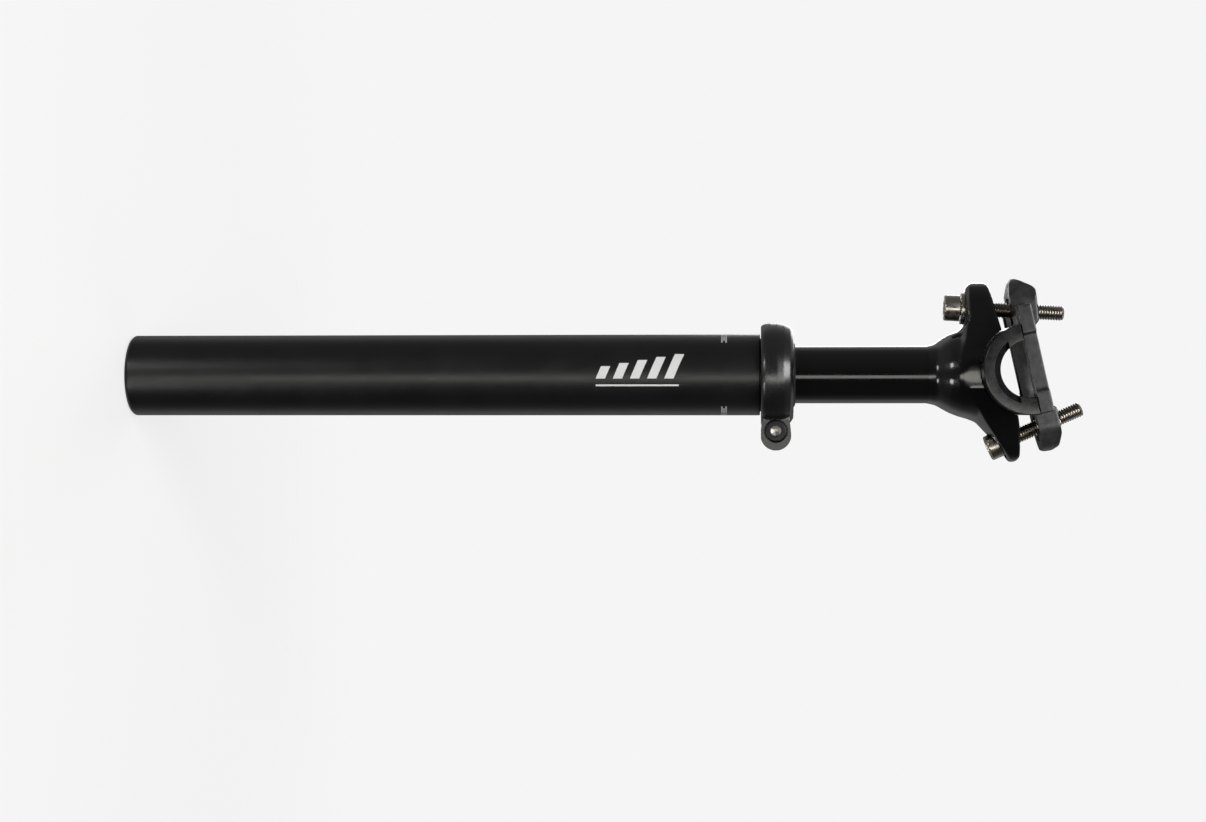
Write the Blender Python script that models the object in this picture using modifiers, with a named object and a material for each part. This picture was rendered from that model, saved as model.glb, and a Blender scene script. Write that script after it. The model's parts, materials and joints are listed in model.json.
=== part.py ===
"""Telescopic suspension seatpost with a two-bolt rail clamp.

Row frame: origin at the centre of the outer tube's bottom end, +Z up along the post, +X to the front
of the bicycle, +Y to its left. Dimensions below are in millimetres and are turned into metres by MM.
"""

import math

import bmesh
import bpy
from mathutils import Matrix, Vector

MM = 0.001

# ---- driving dimensions, in millimetres ------------------------------------------------------------
GAP = 0.3                   # clearance between two pieces that touch on the real post

TUBE_R = 15.8               # 31.6 mm seat tube size
TUBE_BORE_R = 13.0
TUBE_TOP = 248.2            # top of the full-diameter stretch
THREAD_R = 14.9             # reduced, threaded end that the collar screws on
THREAD_TOP = 257.0
KEYWAY_WIDTH = 3.8
KEYWAY_R = 14.2
KEYWAY_BOTTOM = 118.0

STANCHION_R = 11.1          # 22.2 mm inner tube
STANCHION_BORE_R = 9.2
STANCHION_BOTTOM = 178.0
STANCHION_TOP = 312.8
BUSHING_BOTTOM = 214.0
SPIGOT_BOTTOM = 292.0       # how far the head's spigot reaches down into the inner tube

COLLAR_BOTTOM = 248.8
COLLAR_TOP = 261.1
COLLAR_SHOULDER = 258.8     # top of the collar's thread
COLLAR_CROWN_R = 20.1
PINCH_BOLT_X = -21.8
PINCH_BOLT_Z = 254.3
LUG_END_R = 5.8
LUG_END_X = -29.3
LUG_HALF_WIDTH = 10.0
SLIT_WIDTH = 1.6

PLUG_BOTTOM = 1.5           # preload plug, screwed into the tube's foot
PLUG_HEIGHT = 8.0
PLUG_SOCKET_AF = 8.0

SPRING_WIRE_R = 1.5
SPRING_MEAN_R = 10.6
SPRING_TURNS = 13

PIVOT_X = 1.7               # axis that the rail clamp tilts about
PIVOT_Z = 349.5
CLAMP_TILT = math.radians(12.5)
SADDLE_R = 17.7             # concave seat in the head
CRADLE_R = 17.4
CRADLE_INNER_R = 10.9
CRADLE_HALF_WIDTH = 28.0
RAIL_Y = 22.0               # standard saddle rails, 7 mm, 44 mm apart
RAIL_CHANNEL_R = 3.6
SPLIT_HALF_GAP = 0.25       # half the gap between the two clamp halves
EAR_HALF_WIDTH = 10.5

BOLT_R = 2.9                # M6
BOLT_HEAD_R = 5.0
BOLT_HEAD_HEIGHT = 6.0
BOLT_HOLE_R = 3.3
NUT_R = 4.7
NUT_HALF_LENGTH = 7.0
NUT_BORE_R = 3.4
FRONT_HEAD = (26.0, 319.4)  # centre of the bolt head's outer face, as (x, z)
FRONT_TILT = math.radians(-2.9)
FRONT_LENGTH = 40.0
REAR_HEAD = (-28.7, 336.3)
REAR_TILT = math.radians(23.5)
REAR_LENGTH = 33.0
FRONT_NUT_UP = 30.4         # nut centre, along the bolt from the head's outer face
REAR_NUT_UP = 24.6

PARTS = "suspension_seatpost"
CUTTERS = "cutters"


# ---- scene and materials -----------------------------------------------------------------------------
def clear_scene():
    for obj in list(bpy.data.objects):
        bpy.data.objects.remove(obj, do_unlink=True)


def collection(name):
    found = bpy.data.collections.get(name)
    if found is None:
        found = bpy.data.collections.new(name)
        bpy.context.scene.collection.children.link(found)
    return found


def material(name, color, roughness, metallic):
    found = bpy.data.materials.get(name)
    if found is None:
        found = bpy.data.materials.new(name)
        found.use_nodes = True
        shader = found.node_tree.nodes["Principled BSDF"]
        shader.inputs["Base Color"].default_value = (*color, 1.0)
        shader.inputs["Roughness"].default_value = roughness
        shader.inputs["Metallic"].default_value = metallic
    return found


def satin_black():
    return material("satin_black_anodised", (0.022, 0.022, 0.024), 0.42, 0.7)


def gloss_black():
    return material("gloss_black_paint", (0.012, 0.012, 0.013), 0.16, 0.3)


def dark_grey():
    return material("dark_grey_forged", (0.09, 0.09, 0.095), 0.45, 0.8)


def stainless():
    return material("stainless_steel", (0.52, 0.49, 0.45), 0.3, 1.0)


def black_steel():
    return material("black_steel", (0.03, 0.03, 0.032), 0.4, 0.9)


def spring_steel():
    return material("spring_steel", (0.25, 0.25, 0.26), 0.35, 1.0)


def brass():
    return material("brass", (0.60, 0.44, 0.18), 0.32, 1.0)


def black_rubber():
    return material("black_rubber", (0.015, 0.015, 0.015), 0.75, 0.0)


def elastomer():
    return material("elastomer", (0.55, 0.36, 0.10), 0.6, 0.0)


def acetal():
    return material("acetal", (0.035, 0.035, 0.035), 0.5, 0.0)


# ---- shape helpers -------------------------------------------------------------------------------------
def empty(name, x, z, tilt=0.0, parent=None):
    """A joint's frame: its Y axis is the row's, its Z axis leans by tilt towards +X."""
    obj = bpy.data.objects.new(name, None)
    collection(PARTS).objects.link(obj)
    place(obj, x, z, tilt)
    if parent is not None:
        adopt(obj, parent)
    return obj


def place(obj, x, z, tilt=0.0):
    obj.location = (x * MM, 0.0, z * MM)
    obj.rotation_euler = (0.0, tilt, 0.0)
    bpy.context.view_layer.update()


def adopt(obj, parent):
    """Parents obj and leaves it where it stands."""
    bpy.context.view_layer.update()
    obj.parent = parent
    obj.matrix_parent_inverse = parent.matrix_world.inverted()
    bpy.context.view_layer.update()


def new_object(name, mesh, finish=None):
    """A part where finish is given, or else a cutter."""
    obj = bpy.data.objects.new(name, mesh)
    if finish is None:
        collection(CUTTERS).objects.link(obj)
        obj.hide_render = True
        obj.display_type = "WIRE"
    else:
        collection(PARTS).objects.link(obj)
        mesh.materials.append(finish)
    return obj


def turned(name, profile, finish=None, steps=48):
    """Turns an (r, z) profile about Z. It runs down its outer side; a ring's profile closes on itself."""
    mesh = bpy.data.meshes.new(name)
    points = [(r * MM, 0.0, z * MM) for r, z in profile]
    edges = [(i, i + 1) for i in range(len(points) - 1)]
    if profile[0][0] > 0.0:
        edges.append((len(points) - 1, 0))
    mesh.from_pydata(points, edges, [])
    obj = new_object(name, mesh, finish)
    screw = obj.modifiers.new("turn", "SCREW")
    screw.axis = "Z"
    screw.angle = 2.0 * math.pi
    screw.steps = steps
    screw.render_steps = steps
    screw.use_smooth_shade = True
    screw.use_merge_vertices = True
    screw.merge_threshold = 0.00001
    return obj


def rod(name, radius, start, end, finish=None, segments=24, end_radius=None):
    """A cylinder or cone between two points."""
    start = Vector(start) * MM
    end = Vector(end) * MM
    along = end - start
    mesh = bpy.data.meshes.new(name)
    shape = bmesh.new()
    turn = along.to_track_quat("Z", "X").to_matrix().to_4x4()
    bmesh.ops.create_cone(
        shape,
        cap_ends=True,
        segments=segments,
        radius1=radius * MM,
        radius2=(radius if end_radius is None else end_radius) * MM,
        depth=along.length,
        matrix=Matrix.Translation((start + end) / 2.0) @ turn,
    )
    shape.to_mesh(mesh)
    shape.free()
    return new_object(name, mesh, finish)


def block(name, low, high, finish=None):
    low = Vector(low) * MM
    high = Vector(high) * MM
    mesh = bpy.data.meshes.new(name)
    shape = bmesh.new()
    bmesh.ops.create_cube(
        shape,
        size=1.0,
        matrix=Matrix.Translation((low + high) / 2.0) @ Matrix.Diagonal((*(high - low), 1.0)),
    )
    shape.to_mesh(mesh)
    shape.free()
    return new_object(name, mesh, finish)


def prism(name, outline, half_width, finish=None, plan=False, middle=0.0):
    """An (x, z) outline extruded along Y, or with plan an (x, y) outline along Z about the height middle."""
    curve = bpy.data.curves.new(name, "CURVE")
    curve.dimensions = "2D"
    curve.fill_mode = "BOTH"
    curve.extrude = half_width * MM
    spline = curve.splines.new("POLY")
    spline.points.add(len(outline) - 1)
    for point, (a, b) in zip(spline.points, outline):
        point.co = (a * MM, b * MM, 0.0, 1.0)
    spline.use_cyclic_u = True
    flat = bpy.data.objects.new(name + "_outline", curve)
    collection(CUTTERS).objects.link(flat)
    if plan:
        flat.location = (0.0, 0.0, middle * MM)
    else:
        flat.rotation_euler = (math.pi / 2.0, 0.0, 0.0)
    bpy.context.view_layer.update()
    ready = flat.evaluated_get(bpy.context.evaluated_depsgraph_get())
    mesh = bpy.data.meshes.new_from_object(ready)
    mesh.transform(flat.matrix_world)
    shape = bmesh.new()
    shape.from_mesh(mesh)
    bmesh.ops.remove_doubles(shape, verts=shape.verts, dist=0.00001)
    bmesh.ops.recalc_face_normals(shape, faces=shape.faces)
    shape.to_mesh(mesh)
    shape.free()
    bpy.data.objects.remove(flat, do_unlink=True)
    mesh.materials.clear()
    return new_object(name, mesh, finish)


def arc(x, z, radius, start, end, count):
    """Points on a circle, with angles in degrees from +X towards the second axis."""
    angles = [math.radians(start + (end - start) * i / (count - 1)) for i in range(count)]
    return [(x + radius * math.cos(a), z + radius * math.sin(a)) for a in angles]


def boolean(obj, operation, tools):
    for tool in tools:
        step = obj.modifiers.new(operation.lower(), "BOOLEAN")
        step.operation = operation
        step.solver = "EXACT"
        step.object = tool


def cut(obj, *tools):
    boolean(obj, "DIFFERENCE", tools)


def join(obj, *tools):
    boolean(obj, "UNION", tools)


def keep(obj, *tools):
    boolean(obj, "INTERSECT", tools)


def round_edges(obj, width, segments=1, angle=40.0):
    bevel = obj.modifiers.new("bevel", "BEVEL")
    bevel.width = width * MM
    bevel.segments = segments
    bevel.limit_method = "ANGLE"
    bevel.angle_limit = math.radians(angle)


def ring_profile(inner, outer, bottom, top, chamfer=0.0):
    """A tube's section, with its outer edges chamfered."""
    if chamfer == 0.0:
        return [(outer, top), (outer, bottom), (inner, bottom), (inner, top)]
    return [
        (outer - chamfer, top),
        (outer, top - chamfer),
        (outer, bottom + chamfer),
        (outer - chamfer, bottom),
        (inner, bottom),
        (inner, top),
    ]


def hexagon(name, across_flats, bottom, top):
    return rod(name, across_flats / math.sqrt(3.0), (0, 0, bottom), (0, 0, top), segments=6)


def move_all(objects, x, z, tilt):
    for obj in objects:
        place(obj, x, z, tilt)


# ---- outer tube and what stays with it -----------------------------------------------------------------
def outer_tube():
    obj = turned("outer_tube", [
        (THREAD_R - 0.6, THREAD_TOP),
        (THREAD_R, THREAD_TOP - 0.6),
        (THREAD_R, TUBE_TOP),
        (TUBE_R - 0.4, TUBE_TOP),
        (TUBE_R, TUBE_TOP - 0.4),
        (TUBE_R, 1.0),
        (TUBE_R - 1.0, 0.0),
        (TUBE_BORE_R + 0.3, 0.0),
        (TUBE_BORE_R, 0.3),
        (TUBE_BORE_R, THREAD_TOP),
    ], satin_black())
    half = KEYWAY_WIDTH / 2.0
    for side in (-1, 1):
        inner, outer = sorted((side * (TUBE_BORE_R - 2.0), side * KEYWAY_R))
        cut(obj, block("keyway_cutter", (-half, inner, KEYWAY_BOTTOM), (half, outer, THREAD_TOP + 1.0)))
    return obj


def upper_bushing():
    inner = STANCHION_R + 0.25
    flange = THREAD_TOP + GAP
    return turned("upper_bushing", [
        (THREAD_R - 0.2, flange + 1.2),
        (THREAD_R - 0.2, flange),
        (TUBE_BORE_R - 0.15, flange),
        (TUBE_BORE_R - 0.15, BUSHING_BOTTOM),
        (inner, BUSHING_BOTTOM),
        (inner, flange + 1.2),
    ], acetal(), steps=40)


def wiper_seal():
    inner = STANCHION_R + 0.25
    return turned("wiper_seal", [
        (inner + 0.5, COLLAR_TOP + 0.8),
        (inner + 1.75, COLLAR_TOP + 0.1),
        (inner + 1.75, COLLAR_SHOULDER + GAP),
        (inner, COLLAR_SHOULDER + GAP),
        (inner, COLLAR_TOP + 0.6),
    ], black_rubber(), steps=40)


def collar():
    """Barrel-shaped top nut with a slit pinch lug at the rear."""
    obj = turned("collar", [
        (16.8, COLLAR_TOP),
        (18.2, 260.0),
        (19.4, 257.6),
        (COLLAR_CROWN_R, 254.4),
        (COLLAR_CROWN_R, 252.4),
        (19.7, 249.8),
        (18.9, COLLAR_BOTTOM),
        (THREAD_R + 0.3, COLLAR_BOTTOM),
        (THREAD_R + 0.3, COLLAR_SHOULDER),
        (STANCHION_R + 2.3, COLLAR_SHOULDER),
        (STANCHION_R + 2.3, COLLAR_TOP),
    ], satin_black())
    end_x = LUG_END_X + LUG_END_R
    outline = arc(end_x, PINCH_BOLT_Z, LUG_END_R, 100, 260, 9)
    outline += [(-16.2, COLLAR_BOTTOM + 0.4), (-16.2, COLLAR_TOP - 1.0)]
    lug = prism("lug", outline, LUG_HALF_WIDTH)
    slit = SLIT_WIDTH / 2.0
    axis_x, axis_z = PINCH_BOLT_X, PINCH_BOLT_Z
    face = LUG_HALF_WIDTH
    join(obj, lug)
    cut(
        obj,
        block("slit", (-31.0, -slit, 247.0), (-12.0, slit, 263.0)),
        rod("pinch_hole", 2.7, (axis_x, -12.0, axis_z), (axis_x, 12.0, axis_z), segments=24),
        rod("pinch_counterbore", 4.6, (axis_x, face - 5.2, axis_z), (axis_x, 12.0, axis_z)),
    )
    return obj


def collar_bolt():
    """M5 socket cap screw across the pinch lug, with its head on the left."""
    face = LUG_HALF_WIDTH - 0.1
    obj = turned("collar_bolt", [
        (0.0, face),
        (3.7, face),
        (4.25, face - 0.5),
        (4.25, face - 4.8),
        (2.45, face - 4.8),
        (2.45, -LUG_HALF_WIDTH + 0.7),
        (1.9, -LUG_HALF_WIDTH + 0.1),
        (0.0, -LUG_HALF_WIDTH + 0.1),
    ], black_steel(), steps=24)
    cut(obj, hexagon("pinch_socket", 4.0, face - 2.8, face + 1.0))
    lay_across([obj, bpy.data.objects["pinch_socket"]])
    return obj


def lay_across(objects):
    """Turns pieces made along Z to lie along +Y on the pinch bolt's axis."""
    for obj in objects:
        obj.location = (PINCH_BOLT_X * MM, 0.0, PINCH_BOLT_Z * MM)
        obj.rotation_euler = (-math.pi / 2.0, 0.0, 0.0)


# ---- spring and preload adjuster -------------------------------------------------------------------------
def preload_plug():
    top = PLUG_BOTTOM + PLUG_HEIGHT
    radius = TUBE_BORE_R - GAP
    obj = turned("preload_plug", [
        (0.0, top),
        (radius - 0.6, top),
        (radius, top - 0.6),
        (radius, 6.4),
        (radius - 1.4, 6.4),
        (radius - 1.4, 4.4),
        (radius, 4.4),
        (radius, PLUG_BOTTOM + 0.6),
        (radius - 0.6, PLUG_BOTTOM),
        (0.0, PLUG_BOTTOM),
    ], acetal(), steps=40)
    cut(obj, hexagon("plug_socket", PLUG_SOCKET_AF, PLUG_BOTTOM - 1.0, PLUG_BOTTOM + 5.0))
    return obj


def plug_o_ring():
    middle = TUBE_BORE_R - 0.9
    outline = arc(middle, 5.4, 0.7, 90, -180, 7) + arc(middle, 5.4, 0.7, 180, 135, 2)[1:]
    return turned("plug_o_ring", outline, black_rubber(), steps=32)


def preload_seat():
    """Washer that keeps the spring's last coil centred and lets the plug turn under it."""
    base = PLUG_BOTTOM + PLUG_HEIGHT + GAP
    return turned("preload_seat", [
        (0.0, base + 4.5),
        (7.6, base + 4.5),
        (8.4, base + 3.5),
        (8.4, base + 2.0),
        (TUBE_BORE_R - 0.5, base + 2.0),
        (TUBE_BORE_R - 0.5, base),
        (0.0, base),
    ], black_steel(), steps=32)


def spring_floor():
    return PLUG_BOTTOM + PLUG_HEIGHT + 2.0 + 2.0 * GAP


def piston_floor():
    return STANCHION_BOTTOM - 4.0


def main_spring():
    """Coil spring with closed end turns."""
    bottom = spring_floor() + SPRING_WIRE_R
    top = piston_floor() - GAP - SPRING_WIRE_R
    per_turn = 12
    count = SPRING_TURNS * per_turn
    dead = 0.75 * per_turn
    wire_pitch = 2.0 * SPRING_WIRE_R + 0.25
    end_rise = wire_pitch * dead / per_turn
    pitch_rise = (top - bottom - 2.0 * end_rise) / (count - 2.0 * dead)
    curve = bpy.data.curves.new("main_spring", "CURVE")
    curve.dimensions = "3D"
    curve.bevel_depth = SPRING_WIRE_R * MM
    curve.bevel_resolution = 2
    curve.use_fill_caps = True
    spline = curve.splines.new("POLY")
    spline.points.add(count)
    for i, point in enumerate(spline.points):
        low = min(i, dead)
        high = max(0.0, i - (count - dead))
        middle = i - low - high
        z = bottom + (low + high) * wire_pitch / per_turn + middle * pitch_rise
        angle = 2.0 * math.pi * i / per_turn
        x = SPRING_MEAN_R * math.cos(angle)
        y = SPRING_MEAN_R * math.sin(angle)
        point.co = (x * MM, y * MM, z * MM, 1.0)
    obj = bpy.data.objects.new("main_spring", curve)
    curve.materials.append(spring_steel())
    collection(PARTS).objects.link(obj)
    return obj


def elastomer_bumper():
    """Soft rod inside the coils that cushions the end of the stroke."""
    bottom = PLUG_BOTTOM + PLUG_HEIGHT + 4.5 + 2.0 * GAP
    top = bottom + 106.0
    return turned("elastomer_bumper", [
        (0.0, top),
        (6.0, top),
        (7.0, top - 1.0),
        (7.0, bottom + 1.0),
        (6.0, bottom),
        (0.0, bottom),
    ], elastomer(), steps=24)


# ---- sliding inner assembly --------------------------------------------------------------------------------
def inner_tube():
    return turned(
        "inner_tube",
        ring_profile(STANCHION_BORE_R, STANCHION_R, STANCHION_BOTTOM, STANCHION_TOP, 0.3),
        gloss_black(),
    )


def slide_bush():
    """Cup on the inner tube's lower end: runs in the outer tube and carries the two keys."""
    floor = piston_floor()
    outer = TUBE_BORE_R - 0.2
    obj = turned("slide_bush", [
        (outer - 0.6, floor + 30.0),
        (outer, floor + 29.4),
        (outer, floor + 0.6),
        (outer - 0.6, floor),
        (BOLT_HOLE_R, floor),
        (BOLT_HOLE_R, STANCHION_BOTTOM - GAP),
        (STANCHION_R + 0.2, STANCHION_BOTTOM - GAP),
        (STANCHION_R + 0.2, floor + 30.0),
    ], acetal(), steps=40)
    half = 1.5 + 0.2
    low, high = key_span()
    for side in (-1, 1):
        inner, outer = sorted((side * 10.0, side * 15.0))
        cut(obj, block("key_pocket", (-half, inner, low - 0.2), (half, outer, high + 0.2)))
    return obj


def key_span():
    middle = piston_floor() + 15.0
    return middle - 9.0, middle + 9.0


def key(name, side):
    """Brass key that stops the inner tube turning: sits in the bush, slides in the tube's keyway."""
    low, high = key_span()
    inner, outer = sorted((side * (STANCHION_R + GAP), side * (KEYWAY_R - GAP)))
    obj = block(name, (-1.5, inner, low), (1.5, outer, high), brass())
    round_edges(obj, 0.4)
    return obj


def tube_insert():
    """Threaded insert in the inner tube's lower end that the piston bolt screws into."""
    return turned("tube_insert", ring_profile(
        BOLT_HOLE_R - 0.1, STANCHION_BORE_R - 0.2, STANCHION_BOTTOM, STANCHION_BOTTOM + 14.0, 0.5,
    ), stainless(), steps=32)


def piston_bolt():
    seat = piston_floor() - GAP
    obj = turned("piston_bolt", [
        (0.0, seat + 17.0),
        (BOLT_R - 0.6, seat + 17.0),
        (BOLT_R, seat + 16.4),
        (BOLT_R, seat),
        (BOLT_HEAD_R + 0.6, seat),
        (BOLT_HEAD_R + 0.6, seat - 2.4),
        (BOLT_HEAD_R, seat - 3.2),
        (0.0, seat - 3.2),
    ], black_steel(), steps=24)
    cut(obj, hexagon("piston_socket", 4.0, seat - 4.0, seat - 1.0))
    return obj


def top_out_bumper():
    """Rubber ring between the slide bush and the upper bushing, squeezed when the post is fully out."""
    bottom = piston_floor() + 30.0 + GAP
    top = BUSHING_BOTTOM - GAP
    middle = (bottom + top) / 2.0
    inner = STANCHION_R + 0.2
    return turned("top_out_bumper", [
        (inner + 0.9, top),
        (inner + 1.5, middle + 2.6),
        (inner + 1.1, middle),
        (inner + 1.5, middle - 2.6),
        (inner + 0.9, bottom),
        (inner, bottom),
        (inner, top),
    ], black_rubber(), steps=32)


# ---- forged head -------------------------------------------------------------------------------------------
def bolt_point(head, tilt, up, side=0.0):
    """The (x, z) point at a distance up a bolt's axis and to its front side."""
    x = head[0] + up * math.sin(tilt) + side * math.cos(tilt)
    z = head[1] + up * math.cos(tilt) - side * math.sin(tilt)
    return x, z


def head_forging():
    spigot_r = STANCHION_BORE_R - 0.2
    base = STANCHION_TOP + GAP
    obj = turned("head_forging", [
        (0.0, 343.0),
        (12.0, 343.0),
        (16.2, 340.0),
        (17.3, 334.0),
        (17.2, 328.5),
        (16.4, 324.6),
        (15.1, 321.1),
        (13.6, 318.4),
        (11.9, 316.1),
        (STANCHION_R, base),
        (spigot_r, base),
        (spigot_r, SPIGOT_BOTTOM),
        (6.2, SPIGOT_BOTTOM),
        (6.2, 321.0),
        (4.0, 324.0),
        (0.0, 324.0),
    ], gloss_black())
    front = prism("front_arm", [
        (8.0, 326.6), (18.0, 326.2), (20.0, 328.4), (34.0, 328.4), (35.2, 329.8),
        (35.2, 334.4), (34.0, 335.6), (16.4, 340.2), (8.0, 338.0),
    ], 18.0)
    rear = prism("rear_arm", [
        (-8.0, 346.0), (-15.2, 346.2), (-25.3, 347.6), (-31.8, 348.2), (-33.2, 347.4),
        (-34.0, 344.4), (-36.0, 340.0), (-36.0, 324.0), (-6.0, 324.0),
    ], 18.0)
    keep(front, arm_plan("front_plan", 26.0, 1))
    keep(rear, arm_plan("rear_plan", -24.5, -1), rear_bell())
    swell = rod("neck_swell", 12.3, (0.8, 0, 315.6), (1.2, 0, 326.5), segments=48, end_radius=17.6)
    join(obj, swell, front, rear)
    seat = rod("seat_arc", SADDLE_R, (PIVOT_X, -40.0, PIVOT_Z), (PIVOT_X, 40.0, PIVOT_Z), segments=64)
    above = block("above_seat", (PIVOT_X - 13.0, -40.0, 342.0), (PIVOT_X + 14.0, 40.0, 360.0))
    cut(obj, seat, above)
    for name, head, tilt, seat_up in (
        ("front", FRONT_HEAD, FRONT_TILT, 8.6),
        ("rear", REAR_HEAD, REAR_TILT, 7.9),
    ):
        hole = rod(name + "_hole", BOLT_HOLE_R, (0, 0, 0), (0, 0, 40.0), segments=24)
        spot = rod(name + "_spot_face", 6.6, (0, 0, -6.0), (0, 0, seat_up), segments=32)
        move_all((hole, spot), *head, tilt)
        cut(obj, hole, spot)
    return obj


def rear_bell():
    """The rear arm's underside: it flares from the neck like a bell."""
    return turned("rear_bell", [
        (0.0, 352.0),
        (42.0, 352.0),
        (34.2, 344.4),
        (31.5, 342.9),
        (24.5, 337.4),
        (18.4, 331.8),
        (15.9, 325.0),
        (15.0, 321.0),
        (0.0, 321.0),
    ])


def arm_plan(name, bolt_x, side):
    """An arm's outline from above: tangent to the head's round body, with a round end about the bolt."""
    tip = arc(0.0, 0.0, 9.4, 71, -71, 11)
    outline = [(bolt_x + side * x, y) for x, y in tip]
    outline += [(side * 5.4, -16.2), (side * 5.4, 16.2)]
    return prism(name, outline, 30.0, plan=True, middle=335.0)


# ---- clamp bolts, washers and barrel nuts ----------------------------------------------------------------------
def clamp_bolt(name, head, tilt, length):
    """M6 socket cap screw, made up its own Z axis from the head's outer face."""
    tip = BOLT_HEAD_HEIGHT + length
    obj = turned(name, [
        (0.0, tip),
        (BOLT_R - 0.7, tip),
        (BOLT_R, tip - 0.7),
        (BOLT_R, BOLT_HEAD_HEIGHT),
        (BOLT_HEAD_R, BOLT_HEAD_HEIGHT),
        (BOLT_HEAD_R, 0.5),
        (BOLT_HEAD_R - 0.5, 0.0),
        (0.0, 0.0),
    ], stainless(), steps=24)
    socket = hexagon(name + "_socket", 5.0, -1.0, 3.0)
    cut(obj, socket)
    move_all((obj, socket), *head, tilt)
    return obj


def washer(name, head, tilt, thickness):
    bottom = BOLT_HEAD_HEIGHT + GAP
    obj = turned(
        name,
        ring_profile(BOLT_HOLE_R, 6.1, bottom, bottom + thickness, 0.3),
        stainless(),
        steps=24,
    )
    place(obj, *head, tilt)
    return obj


def barrel_nut(name, head, tilt, up):
    """A cross nut lying along Y, with its threaded hole on the bolt's axis."""
    x, z = bolt_point(head, tilt, up)
    obj = rod(name, NUT_R, (0, -NUT_HALF_LENGTH, 0), (0, NUT_HALF_LENGTH, 0), stainless(), segments=32)
    hole = rod(name + "_bore", NUT_BORE_R, (0, 0, -8.0), (0, 0, 8.0), segments=24)
    cut(obj, hole)
    move_all((obj, hole), x, z, tilt)
    return obj


# ---- rail clamp --------------------------------------------------------------------------------------------------
def clamp_local(x, z):
    """A row-frame (x, z) point seen from the clamp's own frame at the tilt axis."""
    dx = x - PIVOT_X
    dz = z - PIVOT_Z
    cos = math.cos(CLAMP_TILT)
    sin = math.sin(CLAMP_TILT)
    return dx * cos - dz * sin, dx * sin + dz * cos


def rail_cutters():
    return [
        rod("rail_channel", RAIL_CHANNEL_R, (-40, side * RAIL_Y, 0), (40, side * RAIL_Y, 0), segments=32)
        for side in (-1, 1)
    ]


def lower_cradle():
    """Half ring that rocks in the head's seat, with two pads that hold the rails from below."""
    width = CRADLE_HALF_WIDTH
    obj = rod("lower_cradle", CRADLE_R, (0, -width, 0), (0, width, 0), dark_grey(), segments=64)
    arch = rod("arch", CRADLE_INNER_R, (0, -30, 0), (0, 30, 0), segments=48)
    top = block("cradle_top", (-30, -40, -SPLIT_HALF_GAP), (30, 40, 30))
    tools = [arch, top] + rail_cutters()
    limits = []
    for side in (-1, 1):
        bevel = rod("arch_bevel", 14.1, (0, side * (width + 1.0), 0), (0, side * 23.5, 0), segments=48,
                    end_radius=10.1)
        below = block("bevel_limit", (-30, -40, -30), (30, 40, -6.0))
        keep(bevel, below)
        tools.append(bevel)
        limits.append(below)
    cut(obj, *tools)
    move_all([obj] + tools + limits, PIVOT_X, PIVOT_Z, CLAMP_TILT)
    return obj


def clamp_ear(name, outline, end_x, side):
    """An ear with the given side outline, whose outer end is round when seen from above."""
    ear = prism(name, outline, 12.0)
    middle = end_x - side * EAR_HALF_WIDTH
    tip = arc(0.0, 0.0, EAR_HALF_WIDTH, 90, -90, 19)
    outline_above = [(middle + side * x, y) for x, y in tip]
    outline_above += [(side * 4.0, -EAR_HALF_WIDTH), (side * 4.0, EAR_HALF_WIDTH)]
    plan = prism(name + "_plan", outline_above, 20.0, plan=True, middle=5.0)
    keep(ear, plan)
    return ear, plan


def nut_cutters(name, head, tilt, up, lean):
    """The open-topped trough that a barrel nut drops into, and the slot under it for the bolt.

    lean is the side, along the clamp, that the bolt leans to as it rises.
    """
    x, z = clamp_local(*bolt_point(head, tilt, up))
    half = NUT_HALF_LENGTH + GAP
    radius = NUT_R + GAP
    low, high = sorted((x - lean * (radius - 0.02), x + lean * 6.6))
    slot_low, slot_high = sorted((x + lean * 4.3, x - lean * 6.0))
    return [
        rod(name + "_trough", radius, (x, -half, z), (x, half, z), segments=32),
        block(name + "_mouth", (low, -half, z + 0.02), (high, half, 20.0)),
        block(name + "_slot", (slot_low, -3.7, -5.0), (slot_high, 3.7, z - 1.5)),
    ]


def upper_clamp():
    """Top plate over the rails, with a thick ear at each end that holds a barrel nut."""
    under = SPLIT_HALF_GAP
    obj = block("upper_clamp", (-17.0, -28.0, under), (24.0, 28.0, 5.2), dark_grey())
    front_ear, front_plan = clamp_ear("front_ear", [
        (8.0, under), (25.0, under), (30.0, 0.9), (33.4, 1.9), (35.3, 3.2), (35.0, 4.8), (30.6, 10.4),
        (29.6, 10.9), (17.6, 9.6), (14.0, 5.0), (8.0, 4.6),
    ], 35.3, 1)
    rear_ear, rear_plan = clamp_ear("rear_ear", [
        (-8.0, under), (-8.0, 4.6), (-13.6, 5.0), (-16.8, 8.9), (-26.4, 8.9), (-31.0, 7.2), (-32.0, 4.0),
        (-31.6, 1.2), (-30.4, under),
    ], -32.0, -1)
    waist = block("waist", (-8.7, -40.0, -1.0), (13.4, 40.0, 8.0))
    waist_core = block("waist_core", (-20.0, -26.4, -4.0), (30.0, 26.4, 12.0))
    tools = rail_cutters() + [waist]
    tools += nut_cutters("front", FRONT_HEAD, FRONT_TILT, FRONT_NUT_UP, -1)
    tools += nut_cutters("rear", REAR_HEAD, REAR_TILT, REAR_NUT_UP, 1)
    join(obj, front_ear, rear_ear)
    cut(waist, waist_core)
    cut(obj, *tools)
    guides = [front_ear, front_plan, rear_ear, rear_plan, waist_core]
    move_all([obj] + guides + tools, PIVOT_X, PIVOT_Z, CLAMP_TILT)
    return obj


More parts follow.
